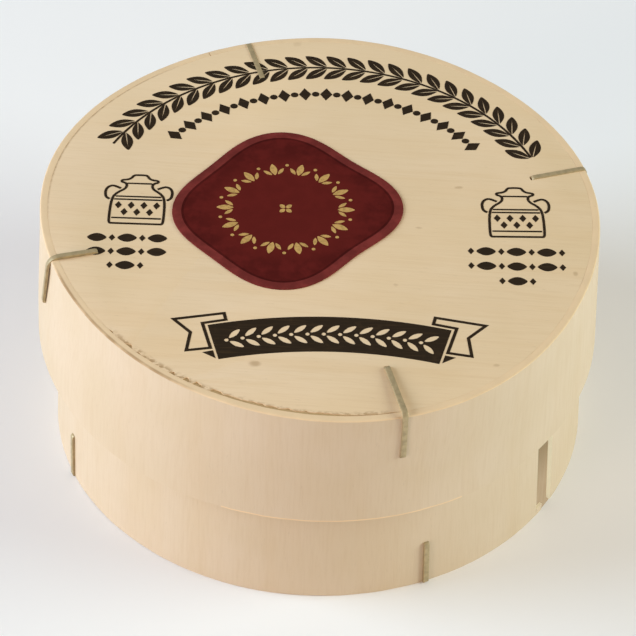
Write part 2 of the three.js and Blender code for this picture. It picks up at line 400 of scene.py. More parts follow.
def marked_veneer(name, colour, stain_and_shade):
    """The lid board's veneer: made paler towards the back with painted light, with small brown marks and a
    brown torn joint.
    """
    material = veneer(name, colour, "X", 0.55, math.radians(4))
    tree = material.node_tree
    shader = tree.nodes["Principled BSDF"]
    tone = shader.inputs["Base Color"].links[0].from_socket
    place = add_node(tree, "ShaderNodeTexCoord").outputs["Object"]
    ragged = stretched_noise(tree, place, 0.7 * MM, 1.0 * MM, "X", 3.0)
    bent = add_node(
        tree,
        "ShaderNodeVectorMath",
        {"operation": "MULTIPLY_ADD"},
        {0: (1, 1, 0), 1: (0.5 * MM,) * 3, 2: place},
    )
    tree.links.new(ragged, bent.inputs[0])
    for x, y, length, height, strength in MARKS:
        middle = (x * MM + 0.25 * MM, y * MM + 0.25 * MM, LID_TOP + 0.25 * MM)
        off = add_node(
            tree, "ShaderNodeVectorMath", {"operation": "SUBTRACT"}, {0: bent.outputs[0], 1: middle}
        ).outputs[0]
        sized = add_node(
            tree,
            "ShaderNodeVectorMath",
            {"operation": "MULTIPLY"},
            {0: off, 1: (2 / (length * MM), 2 / (height * MM), 0)},
        ).outputs[0]
        reach = add_node(tree, "ShaderNodeVectorMath", {"operation": "LENGTH"}, {0: sized}).outputs["Value"]
        tone = blended(tree, ranged(tree, reach, 1.15, 0.35, 0, strength), tone, rgba(stain_and_shade))
    # Painted light: the board's colour is raised towards the back, where the lamps light the top less.
    back = add_node(tree, "ShaderNodeSeparateXYZ", inputs={0: place}).outputs["Y"]
    tone = blended(tree, ranged(tree, back, 2 * MM, 42 * MM, 0, 0.5), tone, rgba(colour, 1.2))
    inward = inside_rim(tree, place)
    torn = product(
        tree,
        ranged(tree, inward, 2.3 * MM, 1.4 * MM),
        in_sector(tree, place, *TORN_SECTOR),
        ranged(tree, ragged, 0.42, 0.6, 0.05, 0.85),
    )
    tone = blended(tree, torn, tone, rgba(stain_and_shade))
    weathered = product(
        tree,
        ranged(tree, inward, 1.6 * MM, 1.25 * MM),
        in_sector(tree, place, *WEATHERED_SECTOR),
        ranged(tree, ragged, 0.3, 0.6, 0.3, 0.7),
    )
    tone = blended(tree, weathered, tone, rgba(stain_and_shade))
    tree.links.new(tone, shader.inputs["Base Color"])
    return material


def cut_edge(name, colour, stain_and_shade):
    """The sawn edge of the veneer: pale end grain with dark pits, and a brown line of painted shade along the
    outer arris at the left.
    """
    material, tree, shader = new_material(name)
    place = add_node(tree, "ShaderNodeTexCoord").outputs["Object"]
    pits = stretched_noise(tree, place, 0.5 * MM, 0.5 * MM, "Z", 3.0)
    wash = stretched_noise(tree, place, 4 * MM, 4 * MM, "Z", 2.0)
    dark = (colour[0] * 0.62, colour[1] * 0.5, colour[2] * 0.36)
    tone = blended(tree, ranged(tree, wash, 0.35, 0.7), rgba(colour), rgba(colour, 0.95))
    tone = blended(tree, ranged(tree, pits, 0.66, 0.8, 0, 0.5), tone, rgba(dark))
    # Painted shade: a brown line along the outer arris of the lid's band at the left, where that arris falls
    # into shade.
    arris_shade = product(
        tree,
        ranged(tree, inside_rim(tree, place), 0.6 * MM, 0.25 * MM),
        in_sector(tree, place, *ARRIS_SHADE_SECTOR),
        ranged(tree, wash, 0.3, 0.6, 0.45, 0.85),
    )
    tone = blended(tree, arris_shade, tone, rgba(stain_and_shade))
    bump = add_node(
        tree, "ShaderNodeBump", {"invert": True}, {"Height": pits, "Strength": 0.35, "Distance": 0.15 * MM}
    )
    tree.links.new(tone, shader.inputs["Base Color"])
    tree.links.new(bump.outputs["Normal"], shader.inputs["Normal"])
    shader.inputs["Roughness"].default_value = 0.85
    return material


def lap_with_painted_shade(name, colour):
    """The lap in the seam's gap: brown poplar with painted shade, darker close under the lid."""
    material = veneer(name, (colour[0] * 0.93, colour[1], colour[2] * 1.4), "Z", 1.0)
    tree = material.node_tree
    shader = tree.nodes["Principled BSDF"]
    tone = shader.inputs["Base Color"].links[0].from_socket
    place = add_node(tree, "ShaderNodeTexCoord").outputs["Object"]
    height = add_node(tree, "ShaderNodeSeparateXYZ", inputs={0: place}).outputs["Z"]
    # Painted shade: darker up towards the lid, whose foot shades the gap.
    tone = blended(tree, ranged(tree, height, 4 * MM, 15 * MM, 0, 0.8), tone, rgba(colour, 0.5))
    tree.links.new(tone, shader.inputs["Base Color"])
    return material


def printing_ink(name, colour):
    """Flexographic ink on raw wood: nearly black and matte, thinner along the proud fibres."""
    material, tree, shader = new_material(name)
    place = add_node(tree, "ShaderNodeTexCoord").outputs["Object"]
    fibres = stretched_noise(tree, place, 0.32 * MM, 5 * MM, "X", 4.0)
    blots = stretched_noise(tree, place, 1.6 * MM, 1.6 * MM, "X", 2.0)
    thin = tuple(channel * 2.2 for channel in colour)
    tone = blended(tree, ranged(tree, fibres, 0.5, 0.75, 0, 0.75), rgba(colour), rgba(thin))
    tone = blended(tree, ranged(tree, blots, 0.55, 0.8, 0, 0.5), tone, rgba(thin))
    tree.links.new(tone, shader.inputs["Base Color"])
    shader.inputs["Roughness"].default_value = 0.8
    shader.inputs["Specular IOR Level"].default_value = 0.15
    return material


def galvanised_wire(name, colour):
    """Flat galvanised steel wire: dull zinc with drawing lines and darker blooms."""
    material, tree, shader = new_material(name)
    place = add_node(tree, "ShaderNodeTexCoord").outputs["Object"]
    bloom = stretched_noise(tree, place, 0.9 * MM, 0.9 * MM, "Z", 3.0)
    tone = blended(tree, ranged(tree, bloom, 0.35, 0.7), rgba(colour), rgba(colour, 0.78))
    tree.links.new(tone, shader.inputs["Base Color"])
    tree.links.new(ranged(tree, bloom, 0.3, 0.7, 0.4, 0.6), shader.inputs["Roughness"])
    shader.inputs["Metallic"].default_value = 0.25
    return material


def coated_paper(name, colour):
    """Printed coated paper under matt varnish: solid ink with a faint mottle and hardly any sheen."""
    material, tree, shader = new_material(name)
    place = add_node(tree, "ShaderNodeTexCoord").outputs["Object"]
    mottle = stretched_noise(tree, place, 2.2 * MM, 2.2 * MM, "Z", 4.0)
    tone = blended(tree, ranged(tree, mottle, 0.35, 0.7), rgba(colour, 0.82), rgba(colour, 1.2))
    bump = add_node(tree, "ShaderNodeBump", inputs={"Height": mottle, "Strength": 0.1, "Distance": 0.1 * MM})
    tree.links.new(tone, shader.inputs["Base Color"])
    tree.links.new(bump.outputs["Normal"], shader.inputs["Normal"])
    shader.inputs["Roughness"].default_value = 0.85
    shader.inputs["Specular IOR Level"].default_value = 0.04
    return material


def seal_paper(name, colour):
    """The seal's field: dark red, a little lighter and redder towards its middle."""
    material = coated_paper(name, colour)
    tree = material.node_tree
    shader = tree.nodes["Principled BSDF"]
    place = add_node(tree, "ShaderNodeTexCoord").outputs["Object"]
    shifted = add_node(
        tree, "ShaderNodeVectorMath", {"operation": "SUBTRACT"}, {0: place, 1: SEAL_CENTRE}
    ).outputs[0]
    reach = add_node(tree, "ShaderNodeVectorMath", {"operation": "LENGTH"}, {0: shifted}).outputs["Value"]
    under = shader.inputs["Base Color"].links[0].from_socket
    rosy = (colour[0] * 1.25, colour[1] * 1.25, colour[2] * 1.15)
    tone = blended(tree, ranged(tree, reach, 14 * MM, 10 * MM, 0, 0.7), under, rgba(rosy))
    tree.links.new(tone, shader.inputs["Base Color"])
    return material


def gold_ink(name, colour):
    """Gold printing ink: a warm ochre with a slight metallic sheen and uneven cover."""
    material, tree, shader = new_material(name)
    place = add_node(tree, "ShaderNodeTexCoord").outputs["Object"]
    cover = stretched_noise(tree, place, 0.5 * MM, 0.5 * MM, "Z", 3.0)
    tone = blended(tree, ranged(tree, cover, 0.4, 0.7), rgba(colour), rgba(colour, 0.72))
    tree.links.new(tone, shader.inputs["Base Color"])
    shader.inputs["Metallic"].default_value = 0.35
    shader.inputs["Roughness"].default_value = 0.45
    return material


def material_for(name, maker, *values):
    """The material of that name, made when it is first asked for."""
    return bpy.data.materials.get(name) or maker(name, *values)


def wood(kind):
    """The veneer of the lid's board, or of the bands, whose grain runs up the side."""
    colours = bpy.context.scene.cheese_box_colours
    if kind == "board":
        return material_for("poplar veneer lid board", marked_veneer, colours.lid_veneer, colours.stain_and_shade)
    if kind == "underside":
        turn = math.radians(-30)
        return material_for("poplar veneer base board", veneer, colours.lid_veneer, "X", 0.8, turn)
    if kind == "band":
        return material_for("poplar veneer band", veneer, colours.band_veneer, "Z", 0.38)
    # The seam's slanted end, pale with a painted highlight.
    if kind == "fresh":
        return material_for("freshly cut poplar", cut_edge, colours.cut_end_painted_highlight, colours.stain_and_shade)
    return material_for("poplar end grain", cut_edge, colours.cut_edge, colours.stain_and_shade)


def finish_piece(bm, name, materials, replaces=(), sharp=35):
    """Turns a bmesh into a named piece that rides on the box and takes its materials."""
    bmesh.ops.remove_doubles(bm, verts=bm.verts, dist=1e-7)
    bmesh.ops.recalc_face_normals(bm, faces=bm.faces)
    mesh = bpy.data.meshes.new(name)
    bm.to_mesh(mesh)
    bm.free()
    mesh.shade_smooth()
    mesh.set_sharp_from_angle(angle=math.radians(sharp))
    piece = bpy.data.objects.new(name, mesh)
    bpy.context.scene.collection.objects.link(piece)
    for material in materials:
        mesh.materials.append(material)
    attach(piece, "root")
    if replaces:
        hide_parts(*replaces)
    return piece


def spin_section(bm, section, start, angle, steps):
    """Sweeps a closed section, given as radius and height pairs, round the axis from one azimuth."""
    corners = []
    for radius, height in section:
        place = outward(start) * radius
        corners.append(bm.verts.new((place.x, place.y, height)))
    face = bm.faces.new(corners)
    bmesh.ops.spin(
        bm,
        geom=[face, *face.edges, *face.verts],
        cent=(0, 0, 0),
        axis=(0, 0, 1),
        dvec=(0, 0, 0),
        angle=angle,
        steps=steps,
        use_merge=False,
    )


def band_section(foot, top, foot_radius, top_radius, veneer_thickness, arris, rows=8):
    """The section of a bent band, up the outside with a rounded arris at its top, and down the inside."""
    ease = 0.12 * MM
    nick = 0.03 * MM
    heights = [foot + ease, foot + 3 * ease]
    heights += [foot + 3 * ease + (top - arris - foot - 3 * ease) * row / rows for row in range(1, rows + 1)]
    lean = (top_radius - foot_radius) / (top - foot)
    section = [(foot_radius + lean * (height - foot), height) for height in heights]
    for step in range(1, 5):
        turn = math.pi / 2 * step / 4
        section.append((top_radius - arris * (1 - math.cos(turn)), top - arris * (1 - math.sin(turn))))
    section.append((top_radius - veneer_thickness + nick, top))
    section.append((top_radius - veneer_thickness, top - nick))
    section += [
        (foot_radius + lean * (height - foot) - veneer_thickness, height) for height in heights[-2::-1]
    ]
    section.append((foot_radius - veneer_thickness + ease, foot))
    section.append((foot_radius - ease, foot))
    return section


def make_band(section, seam_azimuth, seam_width, seed, bulge, tongue=None, pale_foot=None):
    """A bent band open at its seam, a little out of round, with wavering edges and cut end grain."""
    foot = min(height for _, height in section)
    top = max(height for _, height in section)
    outer = max(radius for radius, _ in section)
    half_seam = seam_width / 2 / outer
    bm = bmesh.new()
    spin_section(bm, section, seam_azimuth + half_seam, math.tau - 2 * half_seam, 720)
    if tongue:
        width, height = tongue
        low = [corner for corner in section if corner[1] <= foot + height]
        radii = [radius for radius, _ in low]
        piece = [
            (max(radii), foot),
            (max(radii), foot + height),
            (min(radii), foot + height),
            (min(radii), foot),
        ]
        lap = 0.01 * MM / outer
        spin_section(bm, piece, seam_azimuth - half_seam - lap, width / outer, 6)
    for vert in bm.verts:
        azimuth = azimuth_of(vert.co)
        share = (vert.co.z - foot) / (top - foot)
        ripple = 0.035 * MM * waver(azimuth, 46, seed + 3)
        push = ripple + 0.12 * MM * waver(azimuth, 9, seed + 5) * (1 - share)
        push += bulge(azimuth) * bulge_share(share)
        vert.co += outward(azimuth) * push
        edge_waver = 0.10 * MM * waver(azimuth, 60, seed + 8) + 0.05 * MM * waver(azimuth, 260, seed + 9)
        if share < 0.1:
            vert.co.z += max(edge_waver, -vert.co.z)
        elif share > 0.9:
            vert.co.z += 0.35 * edge_waver
    for face in bm.faces:
        flat = abs(face.normal.z) > 0.5
        at_end = len(face.verts) > 4
        middle = face.calc_center_median()
        # At the front, the lowest faces of the lid's foot take the paler end grain.
        low = pale_foot and middle.z < foot + 0.36 * MM and within(azimuth_of(middle), pale_foot, 0.05) > 0.5
        face.material_index = 1 if flat or at_end or low else 0
    return bm


def cut_away(piece, bm):
    """Cuts the closed shapes of a bmesh out of a piece; the cut faces take its last material."""
    bmesh.ops.recalc_face_normals(bm, faces=bm.faces)
    for face in bm.faces:
        face.material_index = len(piece.data.materials) - 1
    mesh = bpy.data.meshes.new("cutter")
    bm.to_mesh(mesh)
    bm.free()
    cutter = bpy.data.objects.new("cutter", mesh)
    bpy.context.scene.collection.objects.link(cutter)
    boolean = piece.modifiers.new("cut", "BOOLEAN")
    boolean.operation = "DIFFERENCE"
    boolean.solver = "EXACT"
    boolean.object = cutter
    graph = bpy.context.evaluated_depsgraph_get()
    cut = bpy.data.meshes.new_from_object(
        piece.evaluated_get(graph), preserve_all_data_layers=True, depsgraph=graph
    )
    piece.modifiers.clear()
    whole = piece.data
    piece.data = cut
    bpy.data.meshes.remove(whole)
    cut.name = piece.name
    bpy.data.objects.remove(cutter)
    bpy.data.meshes.remove(mesh)


def cut_pockets(piece, pockets):
    """Cuts small eased boxes out of a piece, each given as its matrix and its size."""
    bm = bmesh.new()
    for matrix, size in pockets:
        made = bmesh.ops.create_cube(bm, size=1, matrix=matrix @ Matrix.Diagonal((*size, 1)))
        edges = {edge for vert in made["verts"] for edge in vert.link_edges}
        bmesh.ops.bevel(
            bm,
            geom=list(edges),
            offset=min(size) * 0.2,
            segments=2,
            profile=0.5,
            affect="EDGES",
            material=-1,
        )
    cut_away(piece, bm)


def make_board(radius, under, thickness, joint_at):
    """A round board: joint_at gives how far its edge is torn back at an azimuth."""
    bm = bmesh.new()
    made = bmesh.ops.create_circle(bm, cap_ends=True, segments=1080, radius=radius)
    for vert in made["verts"]:
        azimuth = azimuth_of(vert.co)
        vert.co -= outward(azimuth) * joint_at(azimuth)
    raised = bmesh.ops.extrude_face_region(bm, geom=list(bm.faces))
    top = [item for item in raised["geom"] if isinstance(item, bmesh.types.BMVert)]
    bmesh.ops.translate(bm, verts=top, vec=(0, 0, thickness))
    bmesh.ops.translate(bm, verts=bm.verts, vec=(0, 0, under))
    rims = [edge for edge in bm.edges if abs(edge.verts[0].co.z - edge.verts[1].co.z) < 1e-9]
    bmesh.ops.bevel(bm, geom=rims, offset=0.04 * MM, segments=2, profile=0.5, affect="EDGES", material=-1)
    bmesh.ops.recalc_face_normals(bm, faces=bm.faces)
    for face in bm.faces:
        face.material_index = 0 if abs(face.normal.z) > 0.9 else 1
    return bm


def torn_joint(azimuth):
    """How far the lid board's edge is torn back: open in front, pitted at its left and tight all round."""
    wide = bpy.context.scene.cheese_box_sizes.open_joint
    rough = 0.6 * waver(azimuth, 330, 2.3) + 0.4 * waver(azimuth, 540, 7.1)
    narrowed = 1 - 0.65 * smooth_step(0, math.radians(9), azimuth)
    opened = within(azimuth, OPEN_JOINT, math.radians(1.5)) * narrowed * (0.9 + 0.7 * rough)
    pits = within(azimuth, PITTED_JOINT, math.radians(2)) * smooth_step(0.0, 0.3, waver(azimuth, 170, 5.9))
    return wide * (opened + pits * (1.3 + 0.8 * rough)) - lid_bulge(azimuth)


class CHEESEBOX_OT_lid_board(bpy.types.Operator):
    """The lid's top board, with the torn joint along its front."""

    bl_idname = "cheese_box.lid_board"
    bl_label = "Lid board"

    def execute(self, context):
        sizes = context.scene.cheese_box_sizes
        bm = make_board(LID_RIM_INSIDE, LID_BOARD_UNDER, LID_TOP - LID_BOARD_UNDER, torn_joint)
        grains = [wood("board"), wood("edge")]
        piece = finish_piece(bm, "lid_board_veneer", grains, ["lid_board"])
        staples = LID_STAPLES.values()
        cut_pockets(piece, [board_pocket(azimuth, slant, sizes) for azimuth, _, _, _, slant, _ in staples])
        return {"FINISHED"}


class CHEESEBOX_OT_joint_bed(bpy.types.Operator):
    """The torn fibres that lie a little way down in the open joint at the front."""

    bl_idname = "cheese_box.joint_bed"
    bl_label = "Joint bed"

    def execute(self, context):
        colours = context.scene.cheese_box_colours
        outer = LID_RIM_INSIDE + 0.1 * MM
        inner = LID_RIM_INSIDE - 1.6 * MM
        low = LID_BOARD_UNDER + 0.2 * MM
        high = LID_TOP - 0.16 * MM
        bm = bmesh.new()
        start = PITTED_JOINT[0] - math.radians(4)
        sweep = OPEN_JOINT[1] + math.radians(3) - start
        spin_section(bm, ((outer, low), (outer, high), (inner, high), (inner, low)), start, sweep, 140)
        for vert in bm.verts:
            azimuth = azimuth_of(vert.co)
            vert.co += outward(azimuth) * lid_bulge(azimuth)
            if vert.co.z > high - 0.01 * MM:
                vert.co.z += 0.05 * MM * waver(azimuth, 500, 3.7)
        brown = tuple(channel * share for channel, share in zip(colours.stain_and_shade, (1.35, 1.5, 1.6)))
        fibres = material_for("torn poplar fibres", veneer, brown, "Z", 1.0)
        finish_piece(bm, "joint_bed", [fibres])
        return {"FINISHED"}


class CHEESEBOX_OT_base_board(bpy.types.Operator):
    """The underside's board."""

    bl_idname = "cheese_box.base_board"
    bl_label = "Base board"

    def execute(self, context):
        sizes = context.scene.cheese_box_sizes
        radius = BASE_FOOT_RADIUS - sizes.base_veneer - 0.03 * MM
        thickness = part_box("base_board")[1].z
        bm = make_board(radius, 0, thickness, lambda azimuth: 0.05 * MM * (1 + waver(azimuth, 300, 6.6)))
        bmesh.ops.translate(bm, verts=bm.verts, vec=BASE_SHIFT)
        piece = finish_piece(
            bm, "base_board_veneer", [wood("underside"), wood("edge")], ["base_board"]
        )
        grooves = []
        for azimuth, _ in BASE_STAPLES.values():
            spin = Matrix.Translation(BASE_SHIFT) @ Matrix.Rotation(math.radians(azimuth - 90), 4, "Z")
            middle = BASE_FOOT_RADIUS - sizes.board_leg / 2
            size = (sizes.board_leg + 0.3 * MM, sizes.wire_width + 0.12 * MM, 1.1 * MM)
            grooves.append((spin @ Matrix.Translation((middle, 0, 0)), size))
        cut_pockets(piece, grooves)
        return {"FINISHED"}


def lid_side_radius(azimuth, depth):
    """The radius of the lid's side at an azimuth in degrees and a depth under the rim."""
    share = 1 - depth / (LID_TOP - LID_FOOT)
    bulge = lid_bulge(math.radians(azimuth)) * bulge_share(share)
    return LID_FOOT_RADIUS + (LID_RIM - LID_FOOT_RADIUS) * share + bulge


def board_pocket(azimuth, slant, sizes):
    """The slit in the lid's board that a staple's inner prong goes into."""
    spin = Matrix.Rotation(math.radians(azimuth - 90), 4, "Z")
    radius = LID_RIM - sizes.board_leg
    place = Matrix.Translation((radius + 0.02 * MM, slant * MM, LID_TOP))
    return spin @ place, (0.62 * MM, sizes.wire_width + 0.08 * MM, 1.4 * MM)


def band_pocket(azimuth, skew, leg, sizes):
    """The slit in the lid's band that a staple's outer prong goes into."""
    spin = Matrix.Rotation(math.radians(azimuth - 90), 4, "Z")
    radius = lid_side_radius(azimuth, leg * MM)
    place = Matrix.Translation((radius, skew * MM, LID_TOP - leg * MM + 0.12 * MM))
    return spin @ place, (1.4 * MM, sizes.wire_width + 0.1 * MM, 0.5 * MM)


class CHEESEBOX_OT_lid_band(bpy.types.Operator):
    """The lid's bent band."""

    bl_idname = "cheese_box.lid_band"
    bl_label = "Lid band"

    def execute(self, context):
        sizes = context.scene.cheese_box_sizes
        section = band_section(LID_FOOT, LID_TOP, LID_FOOT_RADIUS, LID_RIM, sizes.lid_veneer, 0.32 * MM)
        bm = make_band(section, LID_SEAM_AZIMUTH, sizes.lid_seam, 1.3, lid_bulge, pale_foot=PALE_FOOT)
        piece = finish_piece(bm, "lid_band_veneer", [wood("band"), wood("edge")], ["lid_band"])
        staples = LID_STAPLES.values()
        pockets = [band_pocket(azimuth, skew, leg, sizes) for azimuth, _, skew, _, _, leg in staples]
        cut_pockets(piece, pockets)
        return {"FINISHED"}


class CHEESEBOX_OT_base_band(bpy.types.Operator):
    """The base's bent band, whose ends stand apart at the seam."""

    bl_idname = "cheese_box.base_band"
    bl_label = "Base band"

    def execute(self, context):
        sizes = context.scene.cheese_box_sizes
        top_radius = BASE_FOOT_RADIUS - BASE_FLARE
        section = band_section(0, BASE_TOP, BASE_FOOT_RADIUS, top_radius, sizes.base_veneer, 0.12 * MM, 16)
        tongue = (sizes.tongue_width, sizes.tongue_height)
        bm = make_band(section, BASE_SEAM_AZIMUTH, sizes.base_seam, 4.1, lambda azimuth: 0, tongue)
        right_end = BASE_SEAM_AZIMUTH + sizes.base_seam / 2 / BASE_FOOT_RADIUS
        cut = {vert for vert in bm.verts if abs(azimuth_of(vert.co) - right_end) < 1e-4}
        for vert in cut:
            radius = math.hypot(vert.co.x, vert.co.y)
            deep = BASE_FOOT_RADIUS - BASE_FLARE * vert.co.z / BASE_TOP - radius
            slant = sizes.scarf * min(1, max(0, deep / sizes.base_veneer))
            vert.co.xy = (outward(right_end - slant / radius) * radius).xy
        # The slanted right end and the cut edges close to the seam take the pale colour of the painted
        # highlight.
        for face in bm.faces:
            off = abs(azimuth_of(face.calc_center_median()) - BASE_SEAM_AZIMUTH)
            if cut.issuperset(face.verts) or (face.material_index == 1 and off < math.radians(4.5)):
                face.material_index = 2
        bmesh.ops.translate(bm, verts=bm.verts, vec=BASE_SHIFT)
        grains = [wood("band"), wood("edge"), wood("fresh")]
        piece = finish_piece(bm, "base_band_veneer", grains, ["base_band"])
        grooves = []
        for azimuth, _ in BASE_STAPLES.values():
            spin = Matrix.Translation(BASE_SHIFT) @ Matrix.Rotation(math.radians(azimuth - 90), 4, "Z")
            size = (4 * MM, sizes.wire_width + 0.12 * MM, 1.1 * MM)
            grooves.append((spin @ Matrix.Translation((BASE_FOOT_RADIUS, 0, 0)), size))
        cut_pockets(piece, grooves)
        return {"FINISHED"}


class CHEESEBOX_OT_seam_strip(bpy.types.Operator):
    """The inner lap of the base's band, seen in the gap of its seam."""

    bl_idname = "cheese_box.seam_strip"
    bl_label = "Seam strip"

    def execute(self, context):
        sizes = context.scene.cheese_box_sizes
        colours = context.scene.cheese_box_colours
        deep = sizes.seam_depth
        lean = BASE_FLARE / BASE_TOP
        section = []
        upper = BASE_TOP * 0.55
        for height, inset in ((0, 0.14 * MM), (0.5 * MM, deep), (upper, deep), (upper, deep + 0.6 * MM)):
            section.append((BASE_FOOT_RADIUS - lean * height - inset, height))
        section.append((BASE_FOOT_RADIUS - deep - 0.6 * MM, 0))
        bm = bmesh.new()
        half = (sizes.base_seam / 2 + 0.6 * MM) / BASE_FOOT_RADIUS
        spin_section(bm, section, BASE_SEAM_AZIMUTH - half, 2 * half, 12)
        bmesh.ops.translate(bm, verts=bm.verts, vec=BASE_SHIFT)
        lap = material_for("dusty poplar lap", lap_with_painted_shade, colours.inside)
        finish_piece(bm, "seam_strip", [lap])
        return {"FINISHED"}


class CHEESEBOX_OT_inside(bpy.types.Operator):
    """What the shut box holds, which keeps its CAD shape and is hardly seen."""

    bl_idname = "cheese_box.inside"
    bl_label = "Inside"

    def execute(self, context):
        colours = context.scene.cheese_box_colours
        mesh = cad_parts["inside_core"].data
        mesh.materials.clear()
        mesh.materials.append(material_for("shaded poplar", veneer, colours.inside, "Z", 1.0))
        return {"FINISHED"}


def thickened(path, half):
    """The closed outline of a line drawn along a path, half to each side."""
    outer = []
    inner = []
    for index, point in enumerate(path):
        before = path[max(0, index - 1)]
        after = path[min(len(path) - 1, index + 1)]
        along = (after - before).normalized()
        across = Vector((-along.y, along.x)) * half
        outer.append(point + across)
        inner.append(point - across)
    return outer + inner[::-1]


def rounded_path(corners):
    """A path through corners given as a radius, a height and a bend, with each bend drawn as a curve."""
    path = [Vector(corners[0][:2])]
    for before, corner, after in zip(corners, corners[1:], corners[2:]):
        turn = Vector(corner[:2])
        first = turn + (Vector(before[:2]) - turn).normalized() * corner[2]
        last = turn + (Vector(after[:2]) - turn).normalized() * corner[2]
        for step in range(7):
            share = step / 6
            path.append(first.lerp(turn, share).lerp(turn.lerp(last, share), share))
    path.append(Vector(corners[-1][:2]))
    return path


def staple_outline(hole, rim, foot, side_leg, lift, bend, sizes):
    """A staple's side view as a closed outline: the radii of its hole, bend and foot, over its board."""
    half = sizes.wire_thickness / 2
    prong = 0.9 * MM
    sunk = half + min(0, lift)
    path = rounded_path(
        (
            (hole + half - 0.1 * MM, -prong, 0),
            (hole + half, sunk, 0.3 * MM),
            (rim + sunk, lift + half, bend),
            (foot + sunk, half - side_leg, 0.3 * MM),
            (foot - prong, half - side_leg - 0.05 * MM, 0),
        )
    )
    return thickened(path, half)


def make_staple(name, node, azimuth, skew, slant, outline, place, flip):
    """Extrudes a staple's side view to the wire's width, eases its edges and stands it on the box."""
    sizes = bpy.context.scene.cheese_box_sizes
    colours = bpy.context.scene.cheese_box_colours
    half = sizes.wire_width / 2
    bm = bmesh.new()
    side = bm.faces.new([bm.verts.new((point.x, -half, point.y)) for point in outline])
    made = bmesh.ops.extrude_face_region(bm, geom=[side])
    far = [item for item in made["geom"] if isinstance(item, bmesh.types.BMVert)]
    bmesh.ops.translate(bm, verts=far, vec=(0, 2 * half, 0))
    bmesh.ops.recalc_face_normals(bm, faces=bm.faces)
    rails = [edge for edge in bm.edges if abs(edge.verts[0].co.y - edge.verts[1].co.y) < 1e-9]
    bmesh.ops.bevel(
        bm,
        geom=rails,
        offset=0.11 * MM,
        segments=2,
        profile=0.5,
        affect="EDGES",
        material=-1,
        clamp_overlap=True,
    )
    foot = min(vert.co.z for vert in bm.verts)
    corner = max(vert.co.x for vert in bm.verts)
    for vert in bm.verts:
        inward = min(1, max(0, corner - vert.co.x) / sizes.board_leg)
        if vert.co.z < foot / 2:
            inward = 0
        vert.co.y += skew * MM * max(0, vert.co.z / foot) * (1 - inward) + slant * MM * inward
    if flip:
        bmesh.ops.rotate(bm, verts=bm.verts, cent=(0, 0, 0), matrix=Matrix.Rotation(math.pi, 3, "X"))
    bmesh.ops.rotate(
        bm, verts=bm.verts, cent=(0, 0, 0), matrix=Matrix.Rotation(math.radians(azimuth - 90), 3, "Z")
    )
    bmesh.ops.translate(bm, verts=bm.verts, vec=place)
    wire = material_for("galvanised steel wire", galvanised_wire, colours.wire)
    finish_piece(bm, name, [wire], [node], 50)


class CHEESEBOX_OT_staples(bpy.types.Operator):
    """The flat wire staples over the lid's rim and the base's foot."""

    bl_idname = "cheese_box.staples"
    bl_label = "Staples"

    def execute(self, context):
        sizes = context.scene.cheese_box_sizes
        for side, (azimuth, lift, skew, out, slant, length) in LID_STAPLES.items():
            bend = 2.0 * MM if side == "left" else 0.7 * MM
            leg = length * MM
            rim = lid_side_radius(azimuth, 0) + out * MM
            foot = lid_side_radius(azimuth, leg) + out * MM
            outline = staple_outline(LID_RIM - sizes.board_leg, rim, foot, leg, lift * MM, bend, sizes)
            place = Vector((0, 0, LID_TOP))
            make_staple(f"lid_wire_{side}", f"lid_staple_{side}", azimuth, skew, slant, outline, place, False)
        leg = sizes.base_side_leg
        hole = BASE_FOOT_RADIUS - sizes.board_leg
        foot = BASE_FOOT_RADIUS - leg * BASE_FLARE / BASE_TOP
        place = BASE_SHIFT + Vector((0, 0, sizes.wire_thickness))
        for side, (azimuth, skew) in BASE_STAPLES.items():
            outline = staple_outline(hole, BASE_FOOT_RADIUS, foot, leg, 0, 0.3 * MM, sizes)
            make_staple(f"base_wire_{side}", f"base_staple_{side}", azimuth, skew, 0, outline, place, True)
        return {"FINISHED"}


def flat_shape(bm, sides, width, height, matrix, pinch=0.0):
    """A flat polygon or ellipse of that width and height, drawn to a point at its ends by pinch."""
    made = bmesh.ops.create_circle(bm, cap_ends=True, segments=sides, radius=0.5)
    for vert in made["verts"]:
        x, y = vert.co.x, vert.co.y
        y *= 1 - pinch * (2 * x) ** 2
        vert.co = matrix @ Vector((x * width, y * height, 0))


def veined_leaf(bm, length, width, matrix):
    """A pointed leaf in two halves, with bare wood left along its vein towards the tip."""
    for side in (1, -1):
        made = bmesh.ops.create_circle(bm, cap_ends=True, segments=24, radius=0.5)
        for vert in made["verts"]:
            x, y = vert.co.x, vert.co.y * side
            slit = 0.075 * MM * smooth_step(-0.4, 0.1, x)
            y = max(y * width * (1 - 0.5 * (2 * x) ** 2), slit)
            vert.co = matrix @ Vector((x * length, y * side, 0))


def bar(bm, width, height, matrix):
    """A flat bar with round ends."""
    made = bmesh.ops.create_circle(bm, cap_ends=True, segments=14, radius=height / 2)
    for vert in made["verts"]:
        vert.co.x += math.copysign((width - height) / 2, vert.co.x)
    bmesh.ops.transform(bm, matrix=matrix, verts=made["verts"])


def arc_strip(bm, centre, inner, outer, start, sweep, steps):
    """A flat curved strip between two radii about a centre, from an azimuth through a sweep."""
    way = outward(start)
    ends = [bm.verts.new(centre + way * radius) for radius in (inner, outer)]
    edge = bm.edges.new(ends)
    bmesh.ops.spin(
        bm,
        geom=[*ends, edge],
        cent=centre,
        axis=(0, 0, 1),
        dvec=(0, 0, 0),
        angle=sweep,
        steps=steps,
        use_merge=False,
    )


def on_lid(x, y, turn=0.0):
    """A place on the lid in millimetres, turned about Z."""
    return Matrix.Translation((x * MM, y * MM, 0)) @ Matrix.Rotation(turn, 4, "Z")


